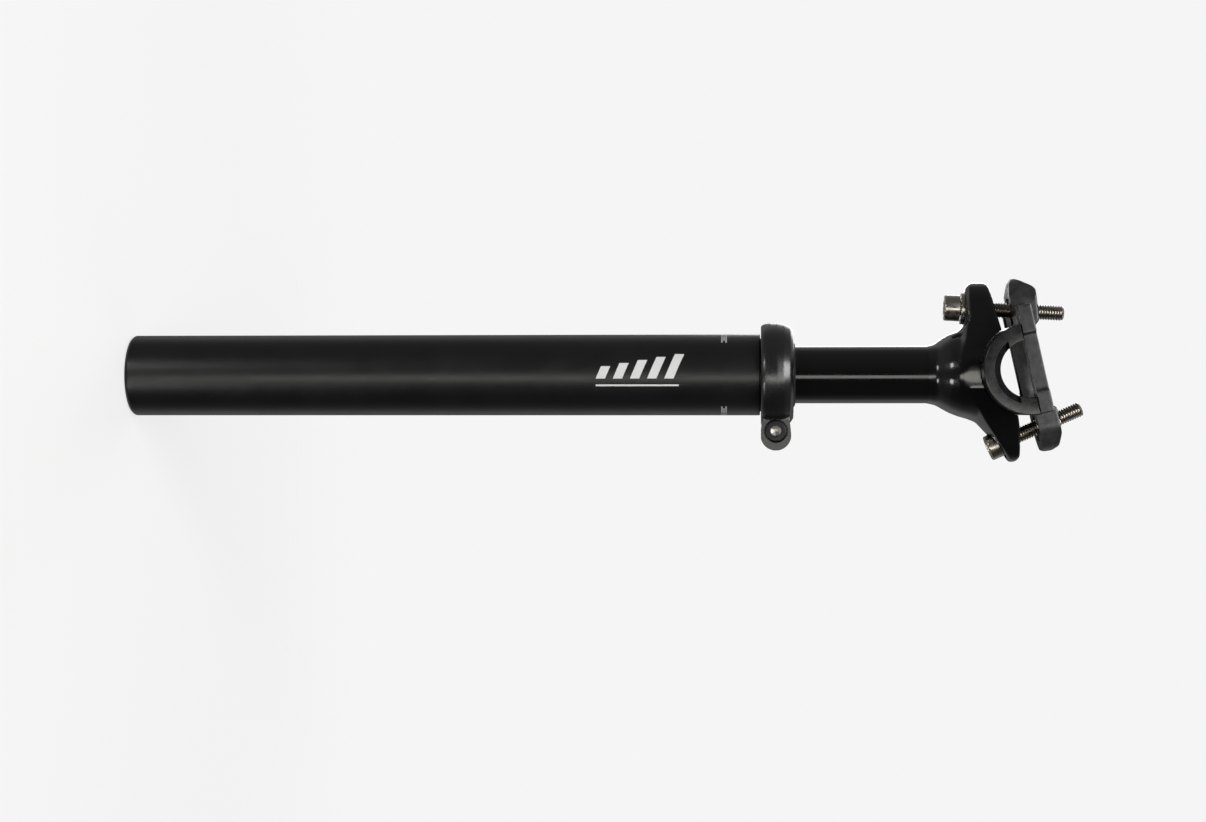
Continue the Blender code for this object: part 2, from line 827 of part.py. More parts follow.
# ---- assembly ------------------------------------------------------------------------------------------------------
def build():
    clear_scene()
    outer_tube()
    upper_bushing()
    wiper_seal()
    collar()
    collar_bolt()
    main_spring()

    preload = empty("preload_axis", 0.0, 0.0)
    for piece in (preload_plug(), plug_o_ring(), preload_seat(), elastomer_bumper()):
        adopt(piece, preload)

    slider = empty("suspension_axis", 0.0, 0.0)
    sliding = [
        inner_tube(), slide_bush(), key("left_key", 1), key("right_key", -1), tube_insert(),
        piston_bolt(), top_out_bumper(), head_forging(),
        washer("front_washer", FRONT_HEAD, FRONT_TILT, 1.6),
        washer("rear_washer", REAR_HEAD, REAR_TILT, 1.2),
    ]
    for piece in sliding:
        adopt(piece, slider)

    for name, head, tilt, length in (
        ("front_bolt", FRONT_HEAD, FRONT_TILT, FRONT_LENGTH),
        ("rear_bolt", REAR_HEAD, REAR_TILT, REAR_LENGTH),
    ):
        axis = empty(name + "_axis", *head, tilt, parent=slider)
        adopt(clamp_bolt(name, head, tilt, length), axis)

    clamp = empty("clamp_axis", PIVOT_X, PIVOT_Z, CLAMP_TILT, parent=slider)
    adopt(lower_cradle(), clamp)
    adopt(upper_clamp(), clamp)
    adopt(barrel_nut("front_nut", FRONT_HEAD, FRONT_TILT, FRONT_NUT_UP), clamp)
    adopt(barrel_nut("rear_nut", REAR_HEAD, REAR_TILT, REAR_NUT_UP), clamp)


build()
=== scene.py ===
import json
import math

import bmesh
import bpy
from mathutils import Matrix, Vector

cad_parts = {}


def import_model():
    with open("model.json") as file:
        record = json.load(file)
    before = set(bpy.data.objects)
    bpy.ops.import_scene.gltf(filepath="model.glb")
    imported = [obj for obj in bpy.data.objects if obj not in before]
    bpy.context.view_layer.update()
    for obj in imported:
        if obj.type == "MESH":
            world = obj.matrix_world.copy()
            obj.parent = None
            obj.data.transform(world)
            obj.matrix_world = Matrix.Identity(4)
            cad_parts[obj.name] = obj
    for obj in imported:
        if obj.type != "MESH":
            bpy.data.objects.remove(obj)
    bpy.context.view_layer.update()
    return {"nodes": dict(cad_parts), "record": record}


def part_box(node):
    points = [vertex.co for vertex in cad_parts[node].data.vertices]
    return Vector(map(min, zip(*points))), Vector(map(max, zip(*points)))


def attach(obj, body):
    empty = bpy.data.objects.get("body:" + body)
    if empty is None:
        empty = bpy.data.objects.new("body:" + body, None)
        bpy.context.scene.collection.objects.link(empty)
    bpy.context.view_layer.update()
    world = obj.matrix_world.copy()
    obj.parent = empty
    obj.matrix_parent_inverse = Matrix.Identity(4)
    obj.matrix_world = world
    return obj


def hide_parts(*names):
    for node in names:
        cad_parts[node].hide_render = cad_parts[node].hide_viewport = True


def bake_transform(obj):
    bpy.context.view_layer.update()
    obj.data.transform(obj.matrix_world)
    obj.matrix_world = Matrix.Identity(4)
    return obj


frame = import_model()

# The row frame is +Z up along the post, +X to the front of the bicycle and +Y to its left, where the
# camera stands.
MM = 0.001
JOINTS = {joint["name"]: joint for joint in frame["record"]["behaviour"]["joints"]}


def box_mm(node):
    low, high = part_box(node)
    return Vector(low) / MM, Vector(high) / MM


def joint_mm(name):
    return Vector(JOINTS[name]["pos_m"]) / MM, Vector(JOINTS[name]["axis"]).normalized()


# ---- sizes taken from the frame --------------------------------------------------------------------
_, TUBE_HIGH = box_mm("outer_tube")
TUBE_R = TUBE_HIGH.x
COLLAR_LOW, COLLAR_HIGH = box_mm("collar")
STANCHION_LOW, STANCHION_HIGH = box_mm("inner_tube")
STANCHION_R = STANCHION_HIGH.x
PLUG_LOW, PLUG_HIGH = box_mm("preload_plug")
PIVOT, _ = joint_mm("clamp_tilt")
FRONT_HEAD, FRONT_AXIS = joint_mm("front_bolt_turn")
REAR_HEAD, REAR_AXIS = joint_mm("rear_bolt_turn")
FRONT_NUT, _ = joint_mm("front_nut_pivot")
REAR_NUT, _ = joint_mm("rear_nut_pivot")

# ---- sizes of the detail that the CAD model leaves plain ---------------------------------------------
TUBE_TOP = 248.2
TUBE_BORE_R = 13.0
THREAD_R = 14.9
THREAD_DEPTH = 0.6
THREAD_PITCH = 1.0
PRINT_R = TUBE_R + 0.03
STANCHION_BORE_R = 9.2
SADDLE_R = 17.7
CRADLE_R = 17.4
CRADLE_INNER_R = 10.9
CRADLE_HALF_WIDTH = 28.0
CLAMP_TILT = math.radians(12.5)
SPLIT_HALF_GAP = 0.25
RAIL_Y = 22.0
RAIL_CHANNEL_R = 3.6
EAR_R = 10.7
PINCH_BOLT = Vector((-21.8, 0.0, 254.3))
COLLAR_SHOULDER = 258.8
LUG_HALF_WIDTH = 10.0
LUG_R = 5.95
BOLT_PITCH = 1.0
BOLT_HEAD_R = 5.0
BOLT_HEAD_HEIGHT = 6.0
BOLT_THREAD_R = 2.95
ARM_TIP_R = 9.4
FLANK_R = 45.0
FLANK_HALF_WIDTH = 16.9


# ---- mesh helpers ------------------------------------------------------------------------------------
def rounded(points, cyclic=False, steps=5):
    """Rounds a profile's corners: each point is (r, z) or (r, z, radius)."""
    out = []
    count = len(points)
    for i, point in enumerate(points):
        here = Vector(point[:2])
        radius = point[2] if len(point) > 2 else 0.0
        if radius == 0.0 or (not cyclic and i in (0, count - 1)):
            out.append(tuple(here))
            continue
        before = Vector(points[i - 1][:2]) - here
        after = Vector(points[(i + 1) % count][:2]) - here
        start = here + before.normalized() * min(radius, before.length * 0.49)
        end = here + after.normalized() * min(radius, after.length * 0.49)
        for k in range(steps + 1):
            t = k / steps
            out.append(tuple(start * (1 - t) ** 2 + here * 2 * t * (1 - t) + end * t * t))
    return out


def lathe_mesh(name, rows, segments, ring=False):
    """Skins rows about Z. A row is (r, z), or a function of the angle that gives (r, z).

    The rows run down the outer side, and with ring the last one joins the first.
    """
    shape = bmesh.new()
    rings = []
    for row in rows:
        if not callable(row) and row[0] == 0.0:
            rings.append([shape.verts.new((0.0, 0.0, row[1] * MM))])
            continue
        loop = []
        for k in range(segments):
            angle = 2.0 * math.pi * k / segments
            r, z = row(angle) if callable(row) else row
            loop.append(shape.verts.new((r * MM * math.cos(angle), r * MM * math.sin(angle), z * MM)))
        rings.append(loop)
    pairs = list(zip(rings, rings[1:]))
    if ring:
        pairs.append((rings[-1], rings[0]))
    for upper, lower in pairs:
        for k in range(segments):
            n = (k + 1) % segments
            if len(upper) == 1:
                shape.faces.new((upper[0], lower[k], lower[n]))
            elif len(lower) == 1:
                shape.faces.new((upper[k], lower[0], upper[n]))
            else:
                shape.faces.new((upper[k], lower[k], lower[n], upper[n]))
    mesh = bpy.data.meshes.new(name)
    shape.to_mesh(mesh)
    shape.free()
    return mesh


def add_object(name, mesh):
    obj = bpy.data.objects.new(name, mesh)
    bpy.context.scene.collection.objects.link(obj)
    return obj


def lathe(name, profile, segments=128, steps=5):
    """A turned piece; its profile is a closed ring unless it starts on the axis."""
    ring = profile[0][0] > 0.0
    obj = add_object(name, lathe_mesh(name, rounded(profile, cyclic=ring, steps=steps), segments, ring))
    soften(obj)
    return obj


def soften(obj, angle=35.0):
    obj.data.shade_smooth()
    obj.data.set_sharp_from_angle(angle=math.radians(angle))


def rod(radius, start, end, segments=48, end_radius=None):
    start = Vector(start) * MM
    end = Vector(end) * MM
    along = end - start
    shape = bmesh.new()
    bmesh.ops.create_cone(
        shape,
        cap_ends=True,
        segments=segments,
        radius1=radius * MM,
        radius2=(radius if end_radius is None else end_radius) * MM,
        depth=along.length,
        matrix=Matrix.Translation((start + end) / 2.0) @ along.to_track_quat("Z", "X").to_matrix().to_4x4(),
    )
    return tool_object(shape)


def block(low, high):
    low = Vector(low) * MM
    high = Vector(high) * MM
    shape = bmesh.new()
    place = Matrix.Translation((low + high) / 2.0) @ Matrix.Diagonal((*(high - low), 1.0))
    bmesh.ops.create_cube(shape, size=1.0, matrix=place)
    return tool_object(shape)


def prism(outline, half_width, plan=False, middle=0.0):
    """An (x, z) outline along Y, or with plan an (x, y) outline along Z about a middle height."""
    shape = bmesh.new()
    sides = []
    for side in (-half_width, half_width):
        if plan:
            sides.append([shape.verts.new((a * MM, b * MM, (middle + side) * MM)) for a, b in outline])
        else:
            sides.append([shape.verts.new((a * MM, side * MM, b * MM)) for a, b in outline])
    shape.faces.new(sides[0])
    shape.faces.new(sides[1])
    for k in range(len(outline)):
        n = (k + 1) % len(outline)
        shape.faces.new((sides[0][k], sides[0][n], sides[1][n], sides[1][k]))
    bmesh.ops.recalc_face_normals(shape, faces=shape.faces)
    return tool_object(shape)


def tool_object(shape):
    mesh = bpy.data.meshes.new("tool")
    shape.to_mesh(mesh)
    shape.free()
    return add_object("tool", mesh)


def arc(x, z, radius, start, end, count):
    angles = [math.radians(start + (end - start) * i / (count - 1)) for i in range(count)]
    return [(x + radius * math.cos(a), z + radius * math.sin(a)) for a in angles]


def bake(obj):
    """Applies the object's modifiers."""
    bpy.context.view_layer.update()
    ready = obj.evaluated_get(bpy.context.evaluated_depsgraph_get())
    mesh = bpy.data.meshes.new_from_object(ready)
    obj.modifiers.clear()
    obj.data = mesh
    return obj


def boolean(obj, operation, tools):
    for tool in tools:
        step = obj.modifiers.new("boolean", "BOOLEAN")
        step.operation = operation
        step.solver = "EXACT"
        step.object = tool
    bake(obj)
    for tool in tools:
        bpy.data.objects.remove(tool, do_unlink=True)
    return obj


def cut(obj, *tools):
    return boolean(obj, "DIFFERENCE", tools)


def join(obj, *tools):
    return boolean(obj, "UNION", tools)


def keep(obj, *tools):
    return boolean(obj, "INTERSECT", tools)


def forge(obj, voxel, passes, factor=0.5):
    """Melts a rough union into one even skin with rounded edges and blended corners."""
    skin = obj.modifiers.new("skin", "REMESH")
    skin.mode = "VOXEL"
    skin.voxel_size = voxel * MM
    even = obj.modifiers.new("even", "SMOOTH")
    even.factor = factor
    even.iterations = passes
    return bake(obj)


def move(obj, matrix):
    obj.data.transform(matrix)
    obj.data.update()
    return obj


def along_axis(place, axis):
    """The matrix that puts a piece made up +Z on an axis in the row's XZ plane."""
    tilt = math.atan2(axis.x, axis.z)
    return Matrix.Translation(place * MM) @ Matrix.Rotation(tilt, 4, "Y")


def tilted():
    """The rail clamp's own frame, leaning nose down at the tilt axis."""
    return Matrix.Translation(PIVOT * MM) @ Matrix.Rotation(CLAMP_TILT, 4, "Y")


def clamp_local(point):
    local = tilted().inverted() @ (point * MM)
    return local.x / MM, local.z / MM


# ---- materials ---------------------------------------------------------------------------------------
class Finish:
    """A Principled material with procedural grain."""

    def __init__(self, name, color, roughness, metallic=0.0, specular=0.5):
        self.material = bpy.data.materials.new(name)
        self.material.use_nodes = True
        self.tree = self.material.node_tree
        self.shader = self.tree.nodes["Principled BSDF"]
        self.color = color
        self.shader.inputs["Base Color"].default_value = (*color, 1.0)
        self.shader.inputs["Roughness"].default_value = roughness
        self.shader.inputs["Metallic"].default_value = metallic
        self.shader.inputs["Specular IOR Level"].default_value = specular
        self.place = self.add("ShaderNodeTexCoord").outputs["Object"]
        self.height = None

    def add(self, kind, **values):
        node = self.tree.nodes.new(kind)
        for key, value in values.items():
            setattr(node, key, value)
        return node

    def link(self, source, target):
        self.tree.links.new(source, target)

    def stretched(self, scale):
        node = self.add("ShaderNodeMapping")
        node.inputs["Scale"].default_value = scale
        self.link(self.place, node.inputs["Vector"])
        return node.outputs["Vector"]

    def noise(self, size, detail=2.0, stretch=(1.0, 1.0, 1.0), rough=0.5):
        """Noise whose lumps are about size millimetres across."""
        node = self.add("ShaderNodeTexNoise")
        node.inputs["Scale"].default_value = 1.0 / (size * MM)
        node.inputs["Detail"].default_value = detail
        node.inputs["Roughness"].default_value = rough
        self.link(self.stretched(stretch), node.inputs["Vector"])
        return node.outputs["Fac"]

    def ramp(self, value, low, high, start=0.3, end=0.7):
        node = self.add("ShaderNodeMapRange")
        node.inputs["From Min"].default_value = start
        node.inputs["From Max"].default_value = end
        node.inputs["To Min"].default_value = low
        node.inputs["To Max"].default_value = high
        self.link(value, node.inputs["Value"])
        return node.outputs["Result"]

    def vary_roughness(self, value, low, high):
        self.link(self.ramp(value, low, high), self.shader.inputs["Roughness"])

    def vary_color(self, value, other, start=0.3, end=0.7):
        mix = self.add("ShaderNodeMix", data_type="RGBA")
        self.link(self.ramp(value, 0.0, 1.0, start, end), mix.inputs["Factor"])
        mix.inputs["A"].default_value = (*self.color, 1.0)
        mix.inputs["B"].default_value = (*other, 1.0)
        self.link(mix.outputs["Result"], self.shader.inputs["Base Color"])

    def bump(self, value, depth, strength=1.0):
        node = self.add("ShaderNodeBump")
        node.inputs["Strength"].default_value = strength
        node.inputs["Distance"].default_value = depth * MM
        self.link(value, node.inputs["Height"])
        if self.height is not None:
            self.link(self.height, node.inputs["Normal"])
        self.height = node.outputs["Normal"]
        self.link(self.height, self.shader.inputs["Normal"])

    def coat(self, weight, roughness):
        self.shader.inputs["Coat Weight"].default_value = weight
        self.shader.inputs["Coat Roughness"].default_value = roughness

    def apply(self, *objects):
        for obj in objects:
            obj.data.materials.clear()
            obj.data.materials.append(self.material)


def satin_anodised():
    """The outer tube: fine bead-blasted black with faint drawing lines along it."""
    finish = Finish("satin_black_anodised", (0.0045, 0.0045, 0.005), 0.36)
    finish.vary_roughness(finish.noise(9.0, 4.0), 0.33, 0.39)
    finish.vary_color(finish.noise(22.0, 3.0), (0.007, 0.007, 0.0075))
    finish.bump(finish.noise(0.16, 2.0), 0.010, 0.55)
    finish.bump(finish.noise(0.5, 2.0, (1.0, 1.0, 0.02)), 0.006, 0.35)
    return finish


def collar_black():
    finish = Finish("semi_gloss_black", (0.007, 0.007, 0.0075), 0.28, specular=0.9)
    finish.vary_roughness(finish.noise(5.0, 3.0), 0.24, 0.31)
    finish.bump(finish.noise(0.35, 2.0), 0.006, 0.4)
    return finish


def stanchion_black():
    """The sliding tube: polished hard coat, with faint rings where the wiper runs."""
    finish = Finish("gloss_black_hard_coat", (0.004, 0.004, 0.0045), 0.1)
    finish.vary_roughness(finish.noise(7.0, 3.0), 0.08, 0.14)
    finish.bump(finish.noise(0.6, 2.0, (1.0, 1.0, 0.03)), 0.0015, 0.25)
    return finish


def head_black():
    """The forging: gloss paint over metal, with a slight orange peel."""
    finish = Finish("gloss_black_paint", (0.0035, 0.0035, 0.004), 0.16)
    finish.vary_roughness(finish.noise(6.0, 3.0), 0.13, 0.2)
    finish.bump(finish.noise(1.6, 2.0), 0.012, 0.35)
    finish.coat(0.4, 0.06)
    return finish


def clamp_grey():
    """The plate and its ears: cast, blasted and anodised dark grey, brighter where the grain is worn."""
    finish = Finish("dark_grey_blasted", (0.024, 0.024, 0.026), 0.3, metallic=0.3)
    finish.vary_roughness(finish.noise(4.0, 4.0), 0.26, 0.38)
    finish.vary_color(finish.noise(2.6, 4.0), (0.05, 0.05, 0.053))
    finish.bump(finish.noise(5.0, 3.0), 0.16, 0.5)
    finish.bump(finish.noise(0.25, 3.0), 0.010, 0.5)
    return finish


def cradle_grey():
    """The half ring: the same anodising on a finer, darker machined face."""
    finish = Finish("dark_grey_machined", (0.006, 0.006, 0.007), 0.2)
    finish.vary_roughness(finish.noise(3.0, 4.0), 0.17, 0.27)
    finish.vary_color(finish.noise(2.2, 4.0), (0.016, 0.016, 0.018))
    finish.bump(finish.noise(4.0, 3.0), 0.08, 0.5)
    finish.bump(finish.noise(0.25, 3.0), 0.006, 0.4)
    return finish


def nickel():
    finish = Finish("nickel_plated_steel", (0.48, 0.45, 0.405), 0.26, metallic=1.0)
    finish.vary_roughness(finish.noise(1.8, 4.0), 0.2, 0.34)
    finish.vary_color(finish.noise(2.4, 3.0), (0.38, 0.345, 0.30))
    finish.bump(finish.noise(0.3, 2.0), 0.004, 0.3)
    return finish


def black_steel():
    finish = Finish("black_oxide_steel", (0.02, 0.02, 0.021), 0.34, metallic=0.8)
    finish.vary_roughness(finish.noise(1.5, 4.0), 0.26, 0.42)
    finish.vary_color(finish.noise(1.8, 3.0), (0.05, 0.048, 0.045), 0.55, 0.8)
    return finish


def socket_steel():
    """The pinch screw: black oxide that the key has worn off inside the socket."""
    finish = Finish("worn_socket_steel", (0.55, 0.53, 0.50), 0.4, metallic=0.7)
    finish.vary_roughness(finish.noise(0.8, 4.0), 0.3, 0.5)
    from_axis = finish.add("ShaderNodeVectorMath", operation="DISTANCE")
    from_axis.inputs[1].default_value = (PINCH_BOLT.x * MM, 0.0, PINCH_BOLT.z * MM)
    finish.link(finish.stretched((1.0, 0.0, 1.0)), from_axis.inputs[0])
    finish.vary_color(from_axis.outputs["Value"], (0.02, 0.02, 0.021), 1.7 * MM, 2.2 * MM)
    return finish


def spring_steel():
    finish = Finish("spring_steel", (0.22, 0.22, 0.235), 0.3, metallic=1.0)
    finish.vary_roughness(finish.noise(2.0, 4.0), 0.22, 0.42)
    finish.vary_color(finish.noise(3.0, 4.0), (0.13, 0.12, 0.12))
    return finish


def brass():
    finish = Finish("machined_brass", (0.55, 0.38, 0.13), 0.28, metallic=1.0)
    finish.vary_roughness(finish.noise(1.0, 3.0, (1.0, 1.0, 0.1)), 0.2, 0.38)
    return finish


def rubber():
    finish = Finish("black_rubber", (0.010, 0.010, 0.010), 0.62)
    finish.vary_roughness(finish.noise(1.5, 3.0), 0.55, 0.72)
    finish.bump(finish.noise(0.2, 3.0), 0.012, 0.5)
    return finish


def foam():
    finish = Finish("amber_elastomer", (0.46, 0.25, 0.06), 0.6)
    finish.vary_color(finish.noise(2.0, 4.0), (0.34, 0.17, 0.04))
    finish.bump(finish.noise(0.5, 4.0), 0.04, 0.6)
    return finish


def acetal():
    finish = Finish("black_acetal", (0.014, 0.014, 0.014), 0.42)
    finish.vary_roughness(finish.noise(2.0, 3.0), 0.36, 0.5)
    finish.bump(finish.noise(0.3, 2.0, (1.0, 1.0, 8.0)), 0.006, 0.4)
    return finish


def pad_print(name, bright, worn):
    """Ink on the tube, thinner where it has worn."""
    finish = Finish(name, (bright, bright, bright), 0.5)
    finish.vary_color(finish.noise(0.4, 3.0), (worn, worn, worn))
    return finish


# ---- outer tube --------------------------------------------------------------------------------------
def thread_row(radius, depth, pitch, z, limit=None):
    """One row of a right-hand thread: the groove's depth follows the helix's phase."""
    def row(angle):
        phase = (z / pitch - angle / (2.0 * math.pi)) % 1.0
        groove = depth * (0.5 - 0.5 * math.cos(2.0 * math.pi * phase)) ** 0.8
        r = radius - groove
        return (r if limit is None else min(r, limit)), z
    return row


def outer_tube():
    """The thread for the collar, the plain outside down to a chamfered foot, and the bore."""
    rows = [(THREAD_R - 0.5, TUBE_HIGH.z), (THREAD_R - 0.1, TUBE_HIGH.z - 0.5)]
    start, stop, step = TUBE_HIGH.z - 0.6, TUBE_TOP + 0.4, 0.18
    for k in range(int((start - stop) / step)):
        rows.append(thread_row(THREAD_R, THREAD_DEPTH, THREAD_PITCH, start - k * step))
    rows += rounded([
        (THREAD_R - THREAD_DEPTH, TUBE_TOP + 0.35),
        (THREAD_R - THREAD_DEPTH, TUBE_TOP, 0.15),
        (TUBE_R, TUBE_TOP, 0.5),
        (TUBE_R, TUBE_TOP - 2.0),
    ])
    rows += [(TUBE_R, z) for z in (180.0, 120.0, 60.0, 6.0)]
    rows += rounded([
        (TUBE_R, 3.0),
        (TUBE_R, 1.15, 0.5),
        (TUBE_R - 1.05, 0.0, 0.35),
        (TUBE_BORE_R + 0.35, 0.0, 0.15),
        (TUBE_BORE_R, 0.5, 0.15),
        (TUBE_BORE_R, 3.0),
    ])
    rows += [(TUBE_BORE_R, z) for z in (60.0, 120.0, 180.0, TUBE_HIGH.z)]
    obj = add_object("outer_tube_skin", lathe_mesh("outer_tube_skin", rows, 144, ring=True))
    soften(obj)
    return obj


def on_tube(z, length, radius):
    """A place on the tube, at a height and an arc length from +Y towards +X."""
    angle = length / radius
    return radius * math.sin(angle) * MM, radius * math.cos(angle) * MM, z * MM


def printed_patch(name, shapes, radius):
    """Flat printed shapes wrapped on the tube: each is four corners of (z, arc length)."""
    shape = bmesh.new()
    steps = 10
    for corners in shapes:
        first, second, third, fourth = [Vector(corner) for corner in corners]
        grid = []
        for i in range(steps + 1):
            a = first.lerp(second, i / steps)
            b = fourth.lerp(third, i / steps)
            line = [on_tube(*a.lerp(b, k / steps), radius) for k in range(steps + 1)]
            grid.append([shape.verts.new(place) for place in line])
        for i in range(steps):
            for k in range(steps):
                shape.faces.new((grid[i][k], grid[i + 1][k], grid[i + 1][k + 1], grid[i][k + 1]))
    bmesh.ops.recalc_face_normals(shape, faces=shape.faces)
    mesh = bpy.data.meshes.new(name)
    shape.to_mesh(mesh)
    shape.free()
    obj = add_object(name, mesh)
    outward = obj.data.polygons[0]
    if outward.normal.dot(outward.center * Vector((1, 1, 0))) < 0:
        obj.data.flip_normals()
    obj.data.shade_smooth()
    return obj


def insertion_marks():
    """Plain bars at the front and rear that show the least insertion."""
    shapes = []
    quarter = math.pi / 2.0 * TUBE_R
    thick = 0.56
    for side in (-1, 1):
        for z, reach in ((233.2, 10.6), (234.0, 9.4), (234.8, 10.6)):
            for start, end in ((-reach, -5.2), (-4.4, 4.4), (5.2, reach)):
                a, b = side * quarter + start, side * quarter + end
                shapes.append([(z, a), (z + thick, a), (z + thick, b), (z, b)])
    return printed_patch("insertion_marks", shapes, PRINT_R)


def side_graphic():
    """A generic graphic on the left side: a row of slanted bars that grow, over a thin line."""
    shapes = []
    first, spacing, thick = 185.0, 6.6, 3.6
    for k in range(5):
        start = first + spacing * k
        low, high = -1.6, 3.2 + 1.25 * k
        lean = 0.42 * (high - low)
        end = start + thick
        shapes.append([(start, low), (end, low), (end + lean, high), (start + lean, high)])
    last = first + 32.0
    shapes.append([(first, -4.6), (last, -4.6), (last, -3.9), (first, -3.9)])
    return printed_patch("side_graphic", shapes, PRINT_R)


def wiper():
    """The seal's lip, which stands a little out of the collar round the inner tube."""
    low, high = box_mm("wiper_seal")
    inner = STANCHION_R + 0.22
    return lathe("wiper_lip", [
        (inner + 0.35, high.z, 0.25),
        (high.x - 0.25, COLLAR_HIGH.z + 0.15, 0.4),
        (high.x, COLLAR_HIGH.z - 0.6),
        (high.x, low.z),
        (inner, low.z),
        (inner, high.z - 0.1, 0.1),
    ], 96)


# ---- collar ------------------------------------------------------------------------------------------
def lug_cutters():
    """The lug's slit, its bolt hole and counterbore, and its two flat faces."""
    low, high = COLLAR_LOW.z - 3.0, COLLAR_HIGH.z + 3.0
    face = LUG_HALF_WIDTH
    x, z = PINCH_BOLT.x, PINCH_BOLT.z
    return [
        block((-34, -0.8, low), (-12, 0.8, high)),
        rod(2.7, (x, -14, z), (x, 14, z)),
        block((-40, face, low), (-17.6, face + 5, high)),
        block((-40, -face - 5, low), (-17.6, -face, high)),
        rod(4.6, (x, face - 5.2, z), (x, 14, z), 64),
    ]


def collar():
    """Barrel-shaped nut that swells into a slit pinch lug at the rear."""
    low, high = COLLAR_LOW.z, COLLAR_HIGH.z
    body = lathe("collar_skin", [
        (0.0, high + 0.1),
        (16.9, high + 0.1),
        (18.6, 260.0),
        (19.7, 257.6),
        (20.25, 254.6),
        (20.2, 252.2),
        (19.8, 249.9),
        (19.0, low - 0.1),
        (0.0, low - 0.1),
    ], 128)
    outline = arc(COLLAR_LOW.x + LUG_R - 0.1, PINCH_BOLT.z, LUG_R, 90, 270, 25)
    outline += [(-17.0, low + 0.5), (-10.0, low + 0.6), (-10.0, high - 1.6), (-17.0, high - 1.5)]
    join(body, prism(outline, LUG_HALF_WIDTH + 0.5))
    forge(body, 0.36, 10)
    keep(body, block((-40, -40, low), (40, 40, high)))
    thread = rod(THREAD_R + 0.3, (0, 0, low - 2), (0, 0, COLLAR_SHOULDER), 128)
    throat = rod(STANCHION_R + 2.3, (0, 0, 250.0), (0, 0, high + 2), 128)
    cut(body, thread, throat, *lug_cutters())
    soften(body, 30.0)
    return body


# ---- screws ------------------------------------------------------------------------------------------
def hex_radius(across_flats, angle):
    """How far a hexagon's edge is from its middle at an angle."""
    sector = math.pi / 3.0
    return across_flats / 2.0 / math.cos((angle % sector) - sector / 2.0)


def hex_row(across_flats, z):
    """One row of a hexagonal socket."""
    return lambda angle: (hex_radius(across_flats, angle), z)


def cap_screw(name, head_r, head_height, socket, depth, shank_r, length, pitch=BOLT_PITCH):
    """A socket cap screw along +Z, with its head's outer face at z = 0 and its tip up."""
    tip = head_height + length
    point_r = shank_r - 0.75
    groove = 0.42 * pitch
    rows = [(0.0, tip), (point_r - 0.2, tip), (point_r, tip - 0.15)]
    start, stop, step = tip - 0.2, head_height + 0.3, pitch / 7.0
    for k in range(int((start - stop) / step)):
        z = start - k * step
        rows.append(thread_row(shank_r, groove, pitch, z, point_r + (tip - z) * 0.9))
    rows += rounded([
        (shank_r - 0.3, stop),
        (shank_r - 0.3, head_height, 0.25),
        (head_r, head_height, 0.18),
        (head_r, 0.0, 0.75),
        (socket / 1.6, 0.0),
    ])
    rows += [hex_row(socket * 1.06, 0.0), hex_row(socket, 0.25), hex_row(socket, depth)]
    rows += [hex_row(socket * 0.7, depth + 0.25), (0.0, depth + 0.9)]
    obj = add_object(name, lathe_mesh(name, rows, 72))
    soften(obj, 40.0)
    return obj


def clamp_screw(name, head, axis, length):
    """An M6 screw with a 5 mm socket."""
    obj = cap_screw(name, BOLT_HEAD_R, BOLT_HEAD_HEIGHT, 5.0, 3.0, BOLT_THREAD_R, length)
    return move(obj, along_axis(head, axis))


def washer(name, thickness, head, axis):
    """A plain washer with rounded rims, just over its bolt's head."""
    low = BOLT_HEAD_HEIGHT + 0.3
    high = low + thickness
    obj = lathe(name, [(6.1, high, 0.4), (6.1, low, 0.4), (3.3, low, 0.15), (3.3, high, 0.15)], 96)
    return move(obj, along_axis(head, axis))


def pinch_screw():
    """An M5 screw with a 4 mm socket, across the lug from its left face."""
    obj = cap_screw("collar_screw", 4.25, 4.8, 4.0, 2.6, 2.45, 14.6, pitch=0.8)
    face = LUG_HALF_WIDTH - 0.1
    turn = Matrix.Rotation(math.pi / 2.0, 4, "X")
    place = Matrix.Translation(Vector((PINCH_BOLT.x, face, PINCH_BOLT.z)) * MM)
    return move(obj, place @ turn)


def barrel_nut(name, centre, axis):
    """A short bar with rounded rims, lying across the post, with the bolt's hole through it."""
    half = 7.0
    obj = lathe(name, [
        (0.0, half),
        (4.7, half, 0.5),
        (4.7, -half, 0.5),
        (0.0, -half),
    ], 72)
    move(obj, Matrix.Rotation(math.pi / 2.0, 4, "X"))
    cut(obj, rod(3.4, (0, 0, -8), (0, 0, 8)), rod(3.4, (0, 0, 4.1), (0, 0, 5.3), 48, 4.6))
    soften(obj, 30.0)
    return move(obj, along_axis(centre, axis))


# ---- inner tube and head -----------------------------------------------------------------------------
def stanchion():
    """The inner tube, plain outside, with its bore."""
    low, high = STANCHION_LOW.z, STANCHION_HIGH.z
    return lathe("inner_tube_skin", [
        (STANCHION_R, high),
        (STANCHION_R, 300.0),
        (STANCHION_R, 240.0),
        (STANCHION_R, low, 0.4),
        (STANCHION_BORE_R, low, 0.3),
        (STANCHION_BORE_R, high, 0.2),
    ], 128)


def arm_plan(bolt_x, side):
    """An arm's outline from above: tangent to the head's round body, with a round end about the bolt."""
    tip = arc(0.0, 0.0, ARM_TIP_R, 71, -71, 25)
    outline = [(bolt_x + side * x, y) for x, y in tip]
    outline += [(side * 5.4, -16.2), (side * 5.4, 16.2)]
    return prism(outline, 30.0, plan=True, middle=335.0)


def flanks():
    """Two wide rods whose overlap flattens the head's sides a little."""
    middle = FLANK_R - FLANK_HALF_WIDTH
    return [
        rod(FLANK_R, (3.0, side * middle, 300.0), (3.0, side * middle, 350.0), 360)
        for side in (-1, 1)
    ]


